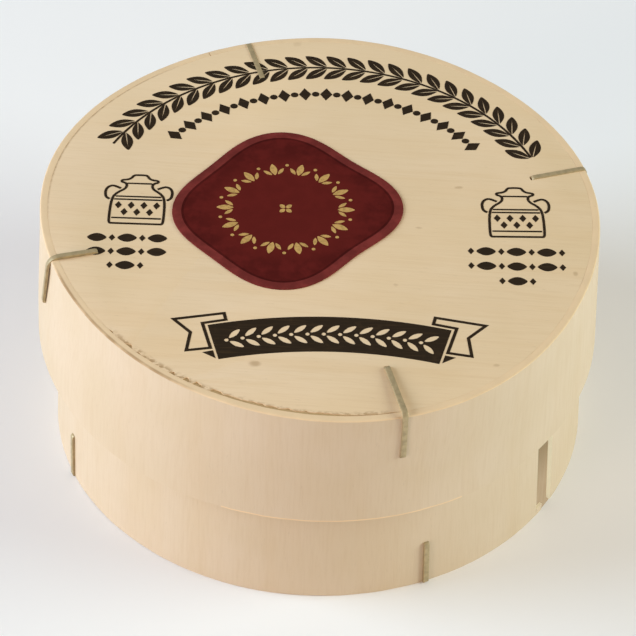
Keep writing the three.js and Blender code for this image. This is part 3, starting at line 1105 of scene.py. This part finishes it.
def finish_print(bm, name, material, low, thickness, replaces=()):
    """Makes flat shapes a film that stands on the height low and is rooted as deep in what is under it."""
    bmesh.ops.remove_doubles(bm, verts=bm.verts, dist=1e-7)
    bmesh.ops.recalc_face_normals(bm, faces=bm.faces)
    made = bmesh.ops.extrude_face_region(bm, geom=list(bm.faces))
    raised = [item for item in made["geom"] if isinstance(item, bmesh.types.BMVert)]
    bmesh.ops.translate(bm, verts=raised, vec=(0, 0, 2 * thickness))
    bmesh.ops.translate(bm, verts=bm.verts, vec=(0, 0, low - thickness))
    return finish_piece(bm, name, [material], replaces)


def ink():
    """The print's ink."""
    return material_for("black ink on wood", printing_ink, bpy.context.scene.cheese_box_colours.ink)


# The garland and the beads run round the back of the lid about its axis, each from an azimuth through a
# sweep.
GARLAND_START = math.radians(114.5)
GARLAND_SWEEP = math.radians(129)
BEADS_START = math.radians(126)
BEADS_SWEEP = math.radians(105)


class CHEESEBOX_OT_garland(bpy.types.Operator):
    """The printed garland of leaves round the back of the lid."""

    bl_idname = "cheese_box.garland"
    bl_label = "Garland"

    def execute(self, context):
        bm = bmesh.new()
        stem = 37.0 * MM
        arc_strip(bm, Vector((0, 0, 0)), stem - 0.2 * MM, stem + 0.2 * MM, GARLAND_START, GARLAND_SWEEP, 120)
        count = 26
        for index in range(count):
            azimuth = GARLAND_START + GARLAND_SWEEP * (index + 0.5) / count
            way = outward(azimuth)
            tangent = math.atan2(way.y, way.x) + math.pi / 2
            for side in (1, -1):
                middle = way * (stem + side * 1.62 * MM)
                lean = Matrix.Rotation(tangent - side * math.radians(38) + math.pi, 4, "Z")
                veined_leaf(bm, 4.3 * MM, 1.9 * MM, Matrix.Translation(middle) @ lean)
        film = context.scene.cheese_box_sizes.ink_film
        finish_print(bm, "garland_print", ink(), LID_TOP, film)
        return {"FINISHED"}


class CHEESEBOX_OT_beads(bpy.types.Operator):
    """The printed row of lozenges and beads inside the garland."""

    bl_idname = "cheese_box.beads"
    bl_label = "Row of beads"

    def execute(self, context):
        bm = bmesh.new()
        count = 33
        for index in range(count):
            azimuth = BEADS_START + BEADS_SWEEP * index / (count - 1)
            way = outward(azimuth)
            place = Matrix.Translation(way * 30.1 * MM) @ Matrix.Rotation(math.atan2(way.y, way.x), 4, "Z")
            if index % 2:
                flat_shape(bm, 12, 1.25 * MM, 1.25 * MM, place)
            else:
                flat_shape(bm, 4, 3.1 * MM, 2.0 * MM, place)
        film = context.scene.cheese_box_sizes.ink_film
        finish_print(bm, "bead_row_print", ink(), LID_TOP, film)
        return {"FINISHED"}


# A milk churn's right-hand outline in millimetres from the middle of its foot, going up, and one handle.
CHURN_SIDE = (
    (3.4, 0.0),
    (4.3, 0.0),
    (4.5, 1.2),
    (4.4, 6.2),
    (3.6, 7.6),
    (2.3, 8.6),
    (2.2, 9.6),
    (3.1, 9.9),
    (3.1, 10.7),
    (1.7, 10.9),
    (1.2, 11.9),
    (0.5, 12.0),
)
CHURN_HANDLE = ((2.9, 8.5), (4.3, 9.3), (5.3, 8.3), (5.2, 6.4), (4.5, 5.9))


def cornerless(points, closed):
    """A path with its corners cut twice, which leaves them round."""
    for _ in range(2):
        ends = points[1:] + points[:1] if closed else points[1:]
        cut = [point.lerp(after, share) for point, after in zip(points, ends) for share in (0.25, 0.75)]
        points = cut if closed else [points[0], *cut[1:-1], points[-1]]
    return points


def flat_face(bm, points, matrix):
    """A flat face through places given in millimetres."""
    spots = [matrix @ Vector((point[0] * MM, point[1] * MM, 0)) for point in points]
    face = bm.faces.new([bm.verts.new(spot) for spot in spots])
    face.normal_update()
    return face


def outlined(bm, points, line, matrix):
    """The outline of a closed shape as a flat line of that width."""
    face = flat_face(bm, points, matrix)
    bmesh.ops.inset_region(bm, faces=[face], thickness=line, use_boundary=True, use_even_offset=True)
    bmesh.ops.delete(bm, geom=[face], context="FACES_ONLY")


def churn(bm, matrix):
    """A line drawing of a milk churn with hoops, handles and rows of lozenges."""
    right = [Vector(point) for point in CHURN_SIDE]
    left = [Vector((-x, y)) for x, y in reversed(CHURN_SIDE)]
    outlined(bm, cornerless(right + left, True), 0.42 * MM, matrix)
    for height, half in ((6.6, 3.6), (5.9, 3.8), (1.5, 3.9), (9.75, 2.0)):
        bar(bm, 2 * half * MM, 0.36 * MM, matrix @ on_lid(0, height))
    for step in range(4):
        flat_shape(bm, 4, 1.1 * MM, 1.7 * MM, matrix @ on_lid(2 * step - 3, 4.55))
    for step in range(3):
        flat_shape(bm, 4, 1.1 * MM, 1.7 * MM, matrix @ on_lid(2 * step - 2, 2.95))
    handle = cornerless([Vector(point) for point in CHURN_HANDLE], False)
    for side in (1, -1):
        line = [(side * point.x, point.y) for point in thickened(handle, 0.22)]
        flat_face(bm, line, matrix)


def leaf_rows(bm, centre_x, top_row, pitch, rows):
    """Rows of lying leaves and small lozenges under a churn; each row is the lengths of its pieces."""
    gap = 0.35
    for number, row in enumerate(rows):
        x = centre_x - (sum(row) + gap * (len(row) - 1)) / 2
        for length in row:
            place = on_lid(x + length / 2, top_row - pitch * number)
            if length < 1.5:
                flat_shape(bm, 4, length * MM, 1.5 * MM, place)
            else:
                flat_shape(bm, 20, length * MM, 1.9 * MM, place, 0.4)
            x += length + gap


class CHEESEBOX_OT_churns(bpy.types.Operator):
    """The two printed milk churns and the rows of leaves under them."""

    bl_idname = "cheese_box.churns"
    bl_label = "Milk churns"

    def execute(self, context):
        bm = bmesh.new()
        churn(bm, on_lid(-28.5, -2.9, math.radians(-1)))
        churn(bm, on_lid(31.0, -4.0, math.radians(1)))
        long_row = (1.0, 3.0, 1.0, 3.0, 1.0, 3.0, 1.0)
        wide_row = (3.0, 1.0, 3.0, 1.0, 3.0)
        leaf_rows(bm, -29.6, -6.0, 3.15, (wide_row, wide_row, (1.0, 3.0, 1.0)))
        leaf_rows(bm, 30.7, -7.3, 3.35, (long_row, long_row, (1.0, 3.0, 1.0)))
        finish_print(bm, "churn_print", ink(), LID_TOP, context.scene.cheese_box_sizes.ink_film)
        return {"FINISHED"}


# The ribbon is bent about this point; its middle runs at this radius.
RIBBON_CENTRE = Vector((2.0 * MM, -95 * MM, 0))
RIBBON_RADIUS = 68.3 * MM


def on_ribbon(along, across):
    """A place on the ribbon, in millimetres along its middle and across it, turned with it."""
    angle = along * MM / RIBBON_RADIUS
    way = Vector((math.sin(angle), math.cos(angle), 0))
    spot = RIBBON_CENTRE + way * (RIBBON_RADIUS + across * MM)
    return Matrix.Translation(spot) @ Matrix.Rotation(-angle, 4, "Z")


def bent_shape(bm, points):
    """A flat shape bent with the ribbon, from places in millimetres along and across it."""
    face = bm.faces.new([bm.verts.new(on_ribbon(x, y) @ Vector((0, 0, 0))) for x, y in points])
    face.normal_update()
    return face


class CHEESEBOX_OT_ribbon(bpy.types.Operator):
    """The printed ribbon in front of the seal, with bare wood left for its wheat ears."""

    bl_idname = "cheese_box.ribbon"
    bl_label = "Ribbon"

    def execute(self, context):
        bm = bmesh.new()
        half = 17.6
        steps = 40
        start = math.pi - half * MM / RIBBON_RADIUS
        arc_strip(
            bm,
            RIBBON_CENTRE,
            RIBBON_RADIUS - 3.8 * MM,
            RIBBON_RADIUS + 3.8 * MM,
            start,
            2 * half * MM / RIBBON_RADIUS,
            steps,
        )
        for side in (1, -1):
            fold = ((18.0, -3.5), (19.7, -1.75), (18.0, -1.75))
            bent_shape(bm, [(side * x, y) for x, y in fold])
            tail = (
                (18.0, -1.4),
                (22.3, -0.9),
                (20.6, 2.9),
                (22.3, 6.7),
                (14.6, 6.1),
                (14.6, 4.15),
                (18.0, 4.15),
            )
            face = bent_shape(bm, [(side * x, y) for x, y in tail])
            bmesh.ops.inset_region(
                bm, faces=[face], thickness=0.5 * MM, use_boundary=True, use_even_offset=True
            )
            bmesh.ops.delete(bm, geom=[face], context="FACES_ONLY")
        film = context.scene.cheese_box_sizes.ink_film
        piece = finish_print(bm, "ribbon_print", ink(), LID_TOP, film)
        cutter = bmesh.new()
        for step in range(-6, 7):
            along = step * 2.45
            for side in (1, -1):
                tilt = Matrix.Rotation(side * math.radians(40), 4, "Z")
                grain = on_ribbon(along + 0.55, side * 1.15) @ tilt
                flat_shape(cutter, 12, 2.5 * MM, 0.95 * MM, grain, 0.4)
            flat_shape(cutter, 8, 0.7 * MM, 0.7 * MM, on_ribbon(along - 0.85, 0))
        made = bmesh.ops.extrude_face_region(cutter, geom=list(cutter.faces))
        raised = [item for item in made["geom"] if isinstance(item, bmesh.types.BMVert)]
        bmesh.ops.translate(cutter, verts=raised, vec=(0, 0, 1 * MM))
        bmesh.ops.translate(cutter, verts=cutter.verts, vec=(0, 0, LID_TOP - 0.5 * MM))
        cut_away(piece, cutter)
        return {"FINISHED"}


class CHEESEBOX_OT_seal(bpy.types.Operator):
    """The paper seal, cut like pressed wax, with its border and its field."""

    bl_idname = "cheese_box.seal"
    bl_label = "Seal"

    def execute(self, context):
        sizes = context.scene.cheese_box_sizes
        colours = context.scene.cheese_box_colours
        bm = bmesh.new()
        made = bmesh.ops.create_circle(bm, cap_ends=True, segments=336, radius=sizes.seal_radius)
        for vert in made["verts"]:
            vert.co = seal_edge(math.atan2(vert.co.y, vert.co.x), sizes.seal_radius)
        face = bm.faces[:][0]
        raised = bmesh.ops.extrude_face_region(bm, geom=[face])
        top = [item for item in raised["geom"] if isinstance(item, bmesh.types.BMVert)]
        bmesh.ops.translate(bm, verts=top, vec=(0, 0, sizes.seal_paper))
        rim = [edge for edge in bm.edges if all(vert in top for vert in edge.verts)]
        bmesh.ops.bevel(bm, geom=rim, offset=0.08 * MM, segments=3, profile=0.5, affect="EDGES", material=-1)
        bm.faces.ensure_lookup_table()
        upper = max(bm.faces, key=lambda item: (round(item.calc_center_median().z, 7), item.calc_area()))
        for thickness, index in ((sizes.seal_border, 0), (0.4 * MM, 1), (0.25 * MM, 2)):
            ring = bmesh.ops.inset_region(
                bm, faces=[upper], thickness=thickness, use_boundary=True, use_even_offset=True
            )
            for item in ring["faces"]:
                item.material_index = index
        upper.material_index = 2
        bmesh.ops.translate(bm, verts=bm.verts, vec=SEAL_CENTRE)
        border = material_for("coated paper border", coated_paper, colours.seal_border)
        dark_red = tuple(channel * 0.7 for channel in colours.seal_field)
        line = material_for("coated paper dark line", coated_paper, dark_red)
        field = material_for("coated paper field", seal_paper, colours.seal_field)
        finish_piece(bm, "seal_paper_label", [border, line, field], ["seal_label"], 30)
        return {"FINISHED"}


class CHEESEBOX_OT_gold(bpy.types.Operator):
    """The gold wreath and rosette printed on the seal."""

    bl_idname = "cheese_box.gold"
    bl_label = "Gold wreath"

    def execute(self, context):
        colours = context.scene.cheese_box_colours
        bm = bmesh.new()
        centre = Matrix.Translation((SEAL_CENTRE.x, SEAL_CENTRE.y, 0))
        count = 14
        for index in range(count):
            spoke = centre @ Matrix.Rotation(math.tau * index / count, 4, "Z")
            flat_shape(bm, 14, 2.7 * MM, 1.15 * MM, spoke @ on_lid(9.5, 0), 0.5)
            for side in (1, -1):
                leaf = spoke @ on_lid(8.9, side * 1.05, side * math.radians(42))
                flat_shape(bm, 12, 1.7 * MM, 0.65 * MM, leaf, 0.5)
            between = centre @ Matrix.Rotation(math.tau * (index + 0.5) / count, 4, "Z")
            flat_shape(bm, 10, 0.6 * MM, 0.6 * MM, between @ on_lid(10.4, 0))
        for index in range(4):
            petal = centre @ Matrix.Rotation(math.tau * (index + 0.5) / 4, 4, "Z")
            flat_shape(bm, 10, 1.1 * MM, 0.8 * MM, petal @ on_lid(0.72, 0), 0.3)
        gold = material_for("gold printing ink", gold_ink, colours.gold)
        height = SEAL_LOW.z + context.scene.cheese_box_sizes.seal_paper
        finish_print(bm, "seal_gold_wreath", gold, height, 0.015 * MM)
        return {"FINISHED"}


# The floor's colour, the even light from all round, and how far the lights stand from the box in metres.
FLOOR_COLOUR = (0.93, 0.92, 0.92, 1)
SKY_COLOUR = (1, 0.87, 0.8, 1)
SKY_STRENGTH = 0.33
LIGHT_DISTANCE = 1.2


class CHEESEBOX_OT_stage(bpy.types.Operator):
    """The pale floor, the soft lights and the camera."""

    bl_idname = "cheese_box.stage"
    bl_label = "Stage"

    def execute(self, context):
        scene = context.scene
        bm = bmesh.new()
        bmesh.ops.create_grid(bm, x_segments=1, y_segments=1, size=3)
        mesh = bpy.data.meshes.new("floor")
        bm.to_mesh(mesh)
        bm.free()
        floor = bpy.data.objects.new("floor", mesh)
        scene.collection.objects.link(floor)
        material, _, shader = new_material("matt white paper floor")
        shader.inputs["Base Color"].default_value = FLOOR_COLOUR
        shader.inputs["Roughness"].default_value = 0.9
        mesh.materials.append(material)
        world = bpy.data.worlds.new("soft daylight")
        world.use_nodes = True
        world.node_tree.nodes["Background"].inputs["Color"].default_value = SKY_COLOUR
        world.node_tree.nodes["Background"].inputs["Strength"].default_value = SKY_STRENGTH
        scene.world = world
        for name, azimuth, elevation, power, size, colour in LIGHTS:
            lamp = bpy.data.lights.new(name, "AREA")
            lamp.shape = "DISK"
            lamp.size = size
            lamp.energy = power
            lamp.color = colour
            light = bpy.data.objects.new(name, lamp)
            way = outward(math.radians(azimuth)) * math.cos(math.radians(elevation))
            way.z = math.sin(math.radians(elevation))
            light.location = way * LIGHT_DISTANCE + Vector((0, 0, LID_TOP / 2))
            light.rotation_euler = way.to_track_quat("Z", "Y").to_euler()
            scene.collection.objects.link(light)
        camera = bpy.data.cameras.new("camera")
        camera.sensor_width = 36
        camera.lens = CAMERA_LENS
        camera.clip_start = 0.01
        view = bpy.data.objects.new("camera", camera)
        lid_middle = Vector((0, 0, LID_TOP))
        back = Vector((0, -math.cos(CAMERA_RISE), math.sin(CAMERA_RISE)))
        view.location = lid_middle + back * CAMERA_DISTANCE
        turned = Matrix.Rotation(CAMERA_TURN, 3, "Z") @ Matrix.Rotation(math.pi / 2 - CAMERA_DIP, 3, "X")
        view.rotation_euler = (turned @ Matrix.Rotation(CAMERA_ROLL, 3, "Z")).to_euler()
        scene.collection.objects.link(view)
        scene.camera = view
        scene.view_settings.view_transform = "Standard"
        return {"FINISHED"}


# The lights: a name, azimuth and elevation in degrees, power, width and colour.
LIGHTS = (
    ("window on the left", -90, 22, 12.9, 0.8, (0.805, 1.0, 1.18)),
    ("lamp at the left front", -42, 14, 3.6, 0.6, (1.25, 0.93, 0.68)),
    ("fill on the right", 85, 22, 10.9, 0.8, (0.92, 1.05, 0.99)),
)


OPERATORS = (
    CHEESEBOX_OT_stage,
    CHEESEBOX_OT_lid_board,
    CHEESEBOX_OT_joint_bed,
    CHEESEBOX_OT_lid_band,
    CHEESEBOX_OT_base_band,
    CHEESEBOX_OT_seam_strip,
    CHEESEBOX_OT_base_board,
    CHEESEBOX_OT_inside,
    CHEESEBOX_OT_staples,
    CHEESEBOX_OT_garland,
    CHEESEBOX_OT_beads,
    CHEESEBOX_OT_churns,
    CHEESEBOX_OT_ribbon,
    CHEESEBOX_OT_seal,
    CHEESEBOX_OT_gold,
)


class CHEESEBOX_PT_pieces(bpy.types.Panel):
    """Lists the pieces of the box."""

    bl_idname = "CHEESEBOX_PT_pieces"
    bl_label = "Cheese Box"
    bl_space_type = "VIEW_3D"
    bl_region_type = "UI"
    bl_category = "Cheese Box"

    def draw(self, context):
        for operator in OPERATORS:
            self.layout.operator(operator.bl_idname)


CLASSES = (CheeseBoxSizes, CheeseBoxColours, *OPERATORS, CHEESEBOX_PT_pieces)


def register():
    for item in CLASSES:
        bpy.utils.register_class(item)
    bpy.types.Scene.cheese_box_sizes = bpy.props.PointerProperty(type=CheeseBoxSizes)
    bpy.types.Scene.cheese_box_colours = bpy.props.PointerProperty(type=CheeseBoxColours)


def unregister():
    del bpy.types.Scene.cheese_box_colours
    del bpy.types.Scene.cheese_box_sizes
    for item in reversed(CLASSES):
        bpy.utils.unregister_class(item)


def main():
    register()
    for operator in OPERATORS:
        name = operator.bl_idname.split(".")[1]
        getattr(bpy.ops.cheese_box, name)()


if __name__ == "__main__":
    main()
